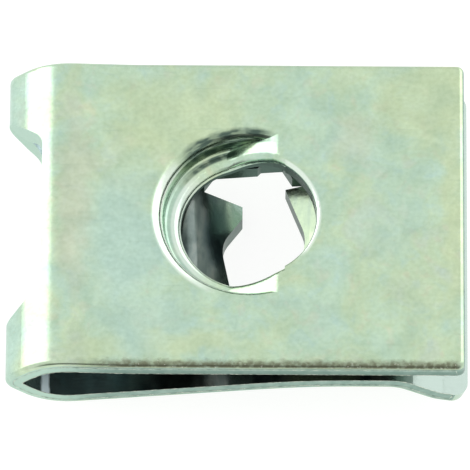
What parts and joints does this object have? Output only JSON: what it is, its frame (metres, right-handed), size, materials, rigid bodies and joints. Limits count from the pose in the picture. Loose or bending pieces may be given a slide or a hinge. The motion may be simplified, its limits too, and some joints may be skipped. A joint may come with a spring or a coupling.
{
  "type": "u clip speed nut",
  "caption": "Folded spring-steel U clip for a panel's edge, with a drawn collar round its clearance hole and two lanced tongues that take a sheet-metal screw's thread.",
  "frame": {"origin": "centre of the clearance hole, on the outer face of the front leg", "axes": "+X along the clip towards the open end where the panel goes in, +Y across it, +Z along the screw's axis, out of the front leg"},
  "size_m": [0.0215, 0.016, 0.0054],
  "materials": {
    "zinc_plated_steel": "bright zinc plate with a pale green and yellow passivate, satin"
  },
  "bodies": {
    "root": {"u_clip": "zinc_plated_steel"}
  },
  "joints": []
}
